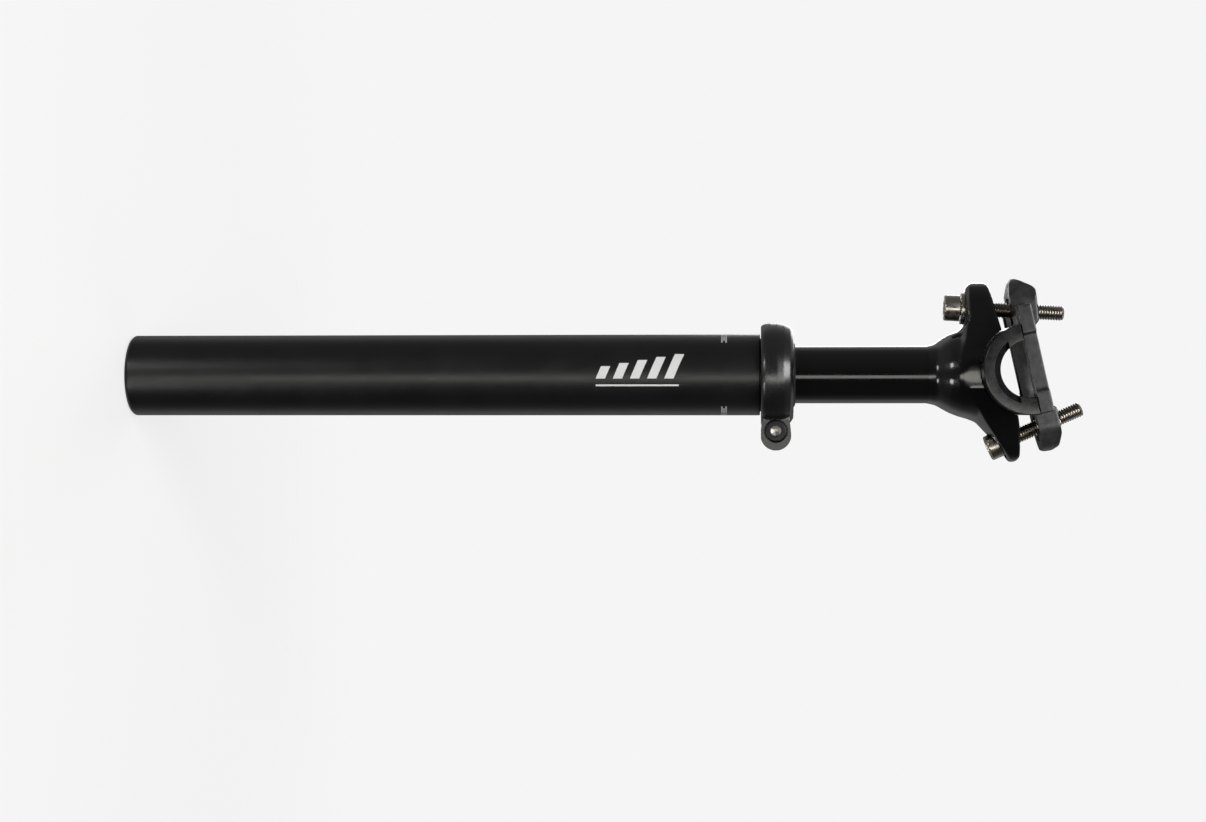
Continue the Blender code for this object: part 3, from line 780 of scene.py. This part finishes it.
def bell(*flare):
    """An arm's underside, which flares from the neck like a bell: the flare runs down from the tip."""
    rows = [(0.0, 352.0), (42.0, 352.0)]
    rows += flare
    rows += [(13.9, 321.0), (12.6, 318.5), (0.0, 318.5)]
    return lathe("bell", rows, 128)


def off_axis(radius, z, forward):
    """A row whose ring stands forward of the post's axis."""
    return lambda angle: (radius + forward * math.cos(angle), z)


def neck(base):
    """The head's round body, from its foot on the inner tube up to the seat."""
    rows = [(0.0, 346.0), (13.0, 346.0), (16.6, 340.4), (17.6, 334.0)]
    rows += [
        off_axis(17.5, 328.5, 0.2),
        off_axis(16.6, 324.6, 0.4),
        off_axis(15.2, 321.1, 0.4),
        off_axis(13.6, 318.4, 0.3),
        off_axis(12.0, 316.0, 0.1),
    ]
    rows += [(STANCHION_R + 0.1, base), (STANCHION_R + 0.1, base - 6.0), (0.0, base - 6.0)]
    return keep(add_object("head_skin", lathe_mesh("head_skin", rows, 96)), *flanks())


def front_arm():
    arm = prism([
        (2.0, 322.0), (17.6, 325.6), (20.4, 328.1), (34.4, 328.1), (35.6, 329.6),
        (35.6, 334.6), (34.4, 335.9), (16.4, 340.6), (2.0, 345.0),
    ], 18.0)
    underside = bell((42.0, 327.0), (22.0, 327.0), (18.6, 326.4), (16.9, 324.8))
    return keep(arm, arm_plan(26.2, 1), underside)


def rear_arm():
    arm = prism([
        (-2.0, 347.0), (-15.2, 346.6), (-19.5, 347.4), (-31.8, 348.1), (-33.6, 346.8),
        (-34.3, 342.2), (-36.0, 340.0), (-36.0, 320.0), (-2.0, 320.0),
    ], 18.0)
    underside = bell((34.2, 344.4), (31.5, 342.7), (24.5, 337.1), (18.6, 331.6), (15.9, 325.0))
    return keep(arm, arm_plan(-24.7, -1), underside)


def head():
    """Forged head: a neck that swells into the seat block, with an arm for each clamp bolt."""
    base = STANCHION_HIGH.z + 0.02
    body = neck(base)
    boss = move(rod(8.0, (0, 0, 7.7), (0, 0, 13.0), 64, 9.6), along_axis(FRONT_HEAD, FRONT_AXIS))
    join(body, front_arm(), rear_arm(), boss)
    forge(body, 0.45, 22)
    foot = block((-30, -30, base - 12.0), (30, 30, base))
    seat = rod(SADDLE_R, (PIVOT.x, -40, PIVOT.z), (PIVOT.x, 40, PIVOT.z), 160)
    above_seat = block((PIVOT.x - 13, -40, 342), (PIVOT.x + 14, 40, 362))
    cut(body, foot, seat, above_seat)
    spigot = rod(STANCHION_BORE_R - 0.2, (0, 0, 292.0), (0, 0, base + 0.5), 64)
    join(body, spigot)
    for place, axis, washer_seat in ((FRONT_HEAD, FRONT_AXIS, 8.0), (REAR_HEAD, REAR_AXIS, 7.9)):
        hole = move(rod(3.3, (0, 0, -2), (0, 0, 40)), along_axis(place, axis))
        spot_face = move(rod(6.6, (0, 0, -6), (0, 0, washer_seat), 64), along_axis(place, axis))
        cut(body, hole, spot_face)
    soften(body, 32.0)
    return body


# ---- rail clamp --------------------------------------------------------------------------------------
def rail_cutters():
    """The two channels for the saddle's rails, in the clamp's own frame."""
    return [
        rod(RAIL_CHANNEL_R, (-45, side * RAIL_Y, 0), (45, side * RAIL_Y, 0), 64)
        for side in (-1, 1)
    ]


def cradle():
    """Half ring with a bevelled inner edge and two rail pads."""
    width = CRADLE_HALF_WIDTH
    body = lathe("cradle_skin", [
        (CRADLE_R, width, 0.5),
        (CRADLE_R, -width, 0.5),
        (CRADLE_INNER_R, -width, 0.35),
        (CRADLE_INNER_R, width, 0.35),
    ], 192)
    move(body, Matrix.Rotation(math.pi / 2.0, 4, "X"))
    upper_half = block((-30, -40, -SPLIT_HALF_GAP), (30, 40, 30))
    tools = [upper_half] + rail_cutters()
    for side in (-1, 1):
        bevel = rod(14.1, (0, side * (width + 1.0), 0), (0, side * 23.5, 0), 96, 10.1)
        below_pads = block((-30, -40, -30), (30, 40, -6.0))
        tools.append(keep(bevel, below_pads))
    cut(body, *tools)
    soften(body, 30.0)
    return move(body, tilted())


def nut_cutters(centre, lean):
    """A barrel nut's round pocket, the way into it from above, and the bolt's slot below it."""
    x, z = clamp_local(centre)
    half, radius = 7.3, 5.0
    low, high = sorted((x - lean * (radius - 0.02), x + lean * 6.6))
    slot_low, slot_high = sorted((x + lean * 4.3, x - lean * 6.0))
    pocket = rod(radius, (x, -half, z), (x, half, z), 64)
    way_in = block((low, -half, z + 0.02), (high, half, 20.0))
    slot = block((slot_low, -3.7, -5.0), (slot_high, 3.7, z - 1.5))
    return [pocket, way_in, slot]


def clamp_ear(outline, end_x, side):
    """An ear with the given side outline, whose outer end is round when seen from above."""
    middle = end_x - side * EAR_R
    plan = [(middle + side * x, y) for x, y in arc(0.0, 0.0, EAR_R, 90, -90, 41)]
    plan += [(side * 4.0, -EAR_R), (side * 4.0, EAR_R)]
    return keep(prism(outline, 13.0), prism(plan, 20.0, plan=True, middle=5.0))


def clamp_plate():
    """Top plate over the rails, with a thick ear at each end for its barrel nut."""
    under = SPLIT_HALF_GAP
    rough = under - 1.0
    body = block((-17.2, -28.1, rough), (24.2, 28.1, 5.3))
    body.name = "clamp_plate_skin"
    front = clamp_ear([
        (6.0, rough), (26.0, rough), (30.6, 0.7), (33.8, 1.7), (35.6, 3.2), (35.2, 4.6),
        (30.9, 9.8), (29.3, 10.7), (17.4, 9.4), (13.8, 5.1), (6.0, 4.7),
    ], 35.6, 1)
    rear = clamp_ear([
        (-6.0, rough), (-6.0, 4.7), (-13.4, 5.1), (-16.6, 8.7), (-26.4, 8.6),
        (-31.3, 7.0), (-32.7, 4.2), (-32.4, 0.9), (-31.0, rough),
    ], -32.7, -1)
    side_recesses = block((-8.7, -40.0, -3.0), (13.4, 40.0, 8.0))
    cut(side_recesses, block((-20, -26.4, -4.0), (30, 26.4, 12.0)))
    join(body, front, rear)
    cut(body, side_recesses)
    forge(body, 0.4, 6)
    lower_half = block((-50, -50, -10), (50, 50, under))
    cut(body, lower_half, *rail_cutters(), *nut_cutters(FRONT_NUT, -1), *nut_cutters(REAR_NUT, 1))
    soften(body, 30.0)
    return move(body, tilted())


# ---- preload plug ------------------------------------------------------------------------------------
def plug():
    """The plug in the foot, with a groove for its o-ring and a hexagonal socket below."""
    radius = TUBE_BORE_R - 0.3
    groove_r = radius - 1.4
    low, high = PLUG_LOW.z, PLUG_HIGH.z
    socket = 8.0
    rows = [(0.0, high)]
    rows += rounded([(radius - 1.0, high), (radius, high, 0.6), (radius, high - 1.0)])
    rows += rounded([
        (radius, 6.6),
        (radius, 6.4, 0.1),
        (groove_r, 6.4, 0.2),
        (groove_r, 4.4, 0.2),
        (radius, 4.4, 0.1),
        (radius, low, 0.7),
        (radius - 2.4, low, 0.25),
        (radius - 2.9, low + 0.5, 0.25),
        (socket / 1.55, low + 0.5),
    ])
    rows += [hex_row(socket * 1.05, low + 0.5), hex_row(socket, low + 0.8), hex_row(socket, low + 5.0)]
    rows += [(0.0, low + 5.0)]
    obj = add_object("preload_plug_skin", lathe_mesh("preload_plug_skin", rows, 144))
    soften(obj, 35.0)
    return obj


# ---- spring ------------------------------------------------------------------------------------------
def spring_stretch(name, low_z, high_z):
    """The coils between two heights."""
    shape = bmesh.new()
    shape.from_mesh(frame["nodes"]["main_spring"].data)
    outside = [face for face in shape.faces if not low_z < face.calc_center_median().z / MM <= high_z]
    bmesh.ops.delete(shape, geom=outside, context="FACES")
    mesh = bpy.data.meshes.new(name)
    shape.to_mesh(mesh)
    shape.free()
    obj = add_object(name, mesh)
    soften(obj, 60.0)
    return obj


def spring_coils():
    """The main spring in place of the CAD node, split a quarter of the way up into its foot and the rest.
    """
    finish = spring_steel()
    low, high = box_mm("main_spring")
    meet = low.z + 0.25 * (high.z - low.z)
    for name, start, end, lower, upper in (
        ("spring_foot", low.z, meet, "spring_seat", "outer"),
        ("spring_body", meet, high.z, "outer", "slider"),
    ):
        obj = spring_stretch(name, start, end)
        finish.apply(obj)
        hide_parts("main_spring")
        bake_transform(obj)


# ---- stage -------------------------------------------------------------------------------------------
PALE = (0.913, 0.913, 0.913)


def nodes_of(owner):
    owner.use_nodes = True
    owner.node_tree.nodes.clear()
    return owner.node_tree.nodes, owner.node_tree.links


# The studio's brightness round the post, against the angle in degrees from +Y towards +X.
STUDIO = (
    (-180.0, 0.07), (-158.0, 0.3), (-132.0, 0.62), (-112.0, 0.22), (-85.0, 0.05), (-30.0, 0.02),
    (5.0, 0.03), (35.0, 0.10), (70.0, 0.17), (110.0, 0.22), (135.0, 0.55), (158.0, 0.3), (180.0, 0.07),
)


def maths(nodes, links, operation, *values):
    node = nodes.new("ShaderNodeMath")
    node.operation = operation
    for socket, value in zip(node.inputs, values):
        links.new(value, socket)
    return node.outputs["Value"]


def map_range(nodes, links, value, source, target, smooth=False):
    node = nodes.new("ShaderNodeMapRange")
    if smooth:
        node.interpolation_type = "SMOOTHSTEP"
    node.inputs["From Min"].default_value, node.inputs["From Max"].default_value = source
    node.inputs["To Min"].default_value, node.inputs["To Max"].default_value = target
    links.new(value, node.inputs["Value"])
    return node.outputs["Result"]


def studio_strength(nodes, links):
    """The studio's brightness by direction: its ramp round the post, and paler above and below."""
    where = nodes.new("ShaderNodeTexCoord")
    split = nodes.new("ShaderNodeSeparateXYZ")
    links.new(where.outputs["Generated"], split.inputs["Vector"])
    angle = maths(nodes, links, "ARCTAN2", split.outputs["X"], split.outputs["Y"])
    ramp = nodes.new("ShaderNodeValToRGB")
    links.new(map_range(nodes, links, angle, (-math.pi, math.pi), (0.0, 1.0)), ramp.inputs["Fac"])
    stops = ramp.color_ramp.elements
    while len(stops) < len(STUDIO):
        stops.new(0.5)
    for stop, (degrees, level) in zip(stops, STUDIO):
        stop.position = (degrees + 180.0) / 360.0
        stop.color = (level, level, level, 1.0)
    height = maths(nodes, links, "ABSOLUTE", split.outputs["Z"])
    lift = map_range(nodes, links, height, (0.45, 0.95), (0.0, 0.16), smooth=True)
    return maths(nodes, links, "ADD", ramp.outputs["Color"], lift)


def world():
    """A pale backdrop for the camera, and a graded studio for light and reflections."""
    made = bpy.data.worlds.new("studio")
    bpy.context.scene.world = made
    nodes, links = nodes_of(made)
    out = nodes.new("ShaderNodeOutputWorld")
    mix = nodes.new("ShaderNodeMixShader")
    path = nodes.new("ShaderNodeLightPath")
    backdrop = nodes.new("ShaderNodeBackground")
    backdrop.inputs["Color"].default_value = (*PALE, 1.0)
    room = nodes.new("ShaderNodeBackground")
    links.new(studio_strength(nodes, links), room.inputs["Strength"])
    links.new(path.outputs["Is Camera Ray"], mix.inputs["Fac"])
    links.new(room.outputs["Background"], mix.inputs[1])
    links.new(backdrop.outputs["Background"], mix.inputs[2])
    links.new(mix.outputs["Shader"], out.inputs["Surface"])


def area_light(name, place, target, width, height, watts):
    data = bpy.data.lights.new(name, "AREA")
    data.shape = "RECTANGLE"
    data.size = width
    data.size_y = height
    data.energy = watts
    obj = bpy.data.objects.new(name, data)
    bpy.context.scene.collection.objects.link(obj)
    back = (Vector(place) - Vector(target)).normalized()
    side = Vector((0.0, 0.0, 1.0)).cross(back).normalized()
    up = back.cross(side)
    obj.matrix_world = Matrix.Translation(place) @ Matrix((side, up, back)).transposed().to_4x4()
    obj.visible_camera = False
    return obj


def lights():
    middle = (0.0, 0.0, 0.2)
    head = (0.0, 0.0, 0.33)
    strip = area_light("axis_strip", (-0.165, 1.0, 0.3), middle, 0.2, 1.3, 3.0)
    strip.data.color = (1.0, 0.985, 0.93)
    area_light("right_softbox", (0.16, 0.68, 0.88), head, 0.5, 0.5, 6.0)
    for side in (-1, 1):
        area_light("neck_light", (0.3 * side, 0.55, -0.3), head, 0.16, 0.16, 0.8)
    area_light("back_softbox", (0.3, -1.1, 0.6), middle, 0.6, 0.8, 5.0)


def floor_material():
    """Pale and matt under the foot, and clear towards its rim."""
    made = bpy.data.materials.new("pale_floor")
    nodes, links = nodes_of(made)
    out = nodes.new("ShaderNodeOutputMaterial")
    where = nodes.new("ShaderNodeTexCoord")
    length = nodes.new("ShaderNodeVectorMath")
    length.operation = "LENGTH"
    links.new(where.outputs["Object"], length.inputs[0])
    fade = map_range(nodes, links, length.outputs["Value"], (0.10, 0.60), (1.0, 0.0), smooth=True)
    glow = nodes.new("ShaderNodeEmission")
    glow.inputs["Color"].default_value = (*PALE, 1.0)
    glow.inputs["Strength"].default_value = 0.79
    matt = nodes.new("ShaderNodeBsdfDiffuse")
    matt.inputs["Color"].default_value = (0.25, 0.25, 0.25, 1.0)
    both = nodes.new("ShaderNodeAddShader")
    clear = nodes.new("ShaderNodeBsdfTransparent")
    mix = nodes.new("ShaderNodeMixShader")
    links.new(glow.outputs["Emission"], both.inputs[0])
    links.new(matt.outputs["BSDF"], both.inputs[1])
    links.new(fade, mix.inputs["Fac"])
    links.new(clear.outputs["BSDF"], mix.inputs[1])
    links.new(both.outputs["Shader"], mix.inputs[2])
    links.new(mix.outputs["Shader"], out.inputs["Surface"])
    return made


def floor():
    """A pale disc under the post's foot that fades into the backdrop."""
    shape = bmesh.new()
    bmesh.ops.create_circle(shape, cap_ends=True, segments=96, radius=0.9)
    mesh = bpy.data.meshes.new("floor")
    shape.to_mesh(mesh)
    shape.free()
    obj = add_object("floor", mesh)
    obj.location.z = -0.0002
    obj.data.materials.append(floor_material())
    obj.visible_shadow = False
    obj.visible_glossy = False
    obj.visible_diffuse = False


def camera():
    """Stands to the post's left with the picture's up towards +X, so the post lies across the picture."""
    data = bpy.data.cameras.new("camera")
    obj = bpy.data.objects.new("camera", data)
    bpy.context.scene.collection.objects.link(obj)
    yaw = math.radians(3.8)
    right = Vector((0.0, -math.sin(yaw), math.cos(yaw)))
    up = Vector((1.0, 0.0, 0.0))
    back = right.cross(up)
    turn = Matrix((right, up, back)).transposed().to_4x4()
    obj.matrix_world = Matrix.Translation((-0.0141, 0.881, 0.2453)) @ turn
    data.sensor_width = 36.0
    data.lens = 67.2
    data.clip_start = 0.01
    data.clip_end = 20.0
    bpy.context.scene.camera = obj


# ---- assembly ----------------------------------------------------------------------------------------
def show(obj, finish, slot, body, *nodes):
    """Finishes a piece and puts it on its body in place of CAD nodes."""
    finish.apply(obj)
    if nodes:
        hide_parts(*nodes)
    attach(obj, body)


def build_post(acetal_finish, rubber_finish):
    show(outer_tube(), satin_anodised(), "outer_tube", "outer", "outer_tube")
    show(insertion_marks(), pad_print("grey_ink", 0.62, 0.42), "outer_tube", "outer")
    show(side_graphic(), pad_print("white_ink", 0.82, 0.7), "outer_tube", "outer")
    show(collar(), collar_black(), "collar", "outer", "collar")
    show(pinch_screw(), socket_steel(), "black_steel", "outer", "collar_bolt")
    show(wiper(), rubber_finish, "rubber", "outer", "wiper_seal")
    show(plug(), acetal_finish, "bushing", "preload_adjuster", "preload_plug")
    show(stanchion(), stanchion_black(), "inner_tube", "slider", "inner_tube")
    spring_coils()


def build_head(nickel_finish):
    show(head(), head_black(), "head", "slider", "head_forging")
    show(cradle(), cradle_grey(), "clamp_grey", "rail_clamp", "lower_cradle")
    show(clamp_plate(), clamp_grey(), "clamp_grey", "rail_clamp", "upper_clamp")
    for end, place, axis, length, thickness, nut in (
        ("front", FRONT_HEAD, FRONT_AXIS, 40.0, 1.6, FRONT_NUT),
        ("rear", REAR_HEAD, REAR_AXIS, 33.0, 1.2, REAR_NUT),
    ):
        ring = washer(f"{end}_washer_skin", thickness, place, axis)
        screw = clamp_screw(f"{end}_screw", place, axis, length)
        barrel = barrel_nut(f"{end}_nut_skin", nut, axis)
        show(ring, nickel_finish, "stainless", "slider", f"{end}_washer")
        show(screw, nickel_finish, "stainless", f"{end}_clamp_bolt", f"{end}_bolt")
        show(barrel, nickel_finish, "stainless", f"{end}_barrel_nut", f"{end}_nut")


def finish_kept_nodes(acetal_finish, rubber_finish, nickel_finish):
    """Better materials on the CAD nodes whose shape is kept."""
    for finish, names in (
        (rubber_finish, ("plug_o_ring", "top_out_bumper")),
        (acetal_finish, ("upper_bushing", "slide_bush")),
        (black_steel(), ("preload_seat", "piston_bolt")),
        (foam(), ("elastomer_bumper",)),
        (brass(), ("left_key", "right_key")),
        (nickel_finish, ("tube_insert",)),
    ):
        finish.apply(*[frame["nodes"][name] for name in names])


def build():
    nickel_finish = nickel()
    rubber_finish = rubber()
    acetal_finish = acetal()
    build_post(acetal_finish, rubber_finish)
    build_head(nickel_finish)
    finish_kept_nodes(acetal_finish, rubber_finish, nickel_finish)


build()
world()
lights()
floor()
camera()
bpy.context.scene.view_settings.view_transform = "Standard"
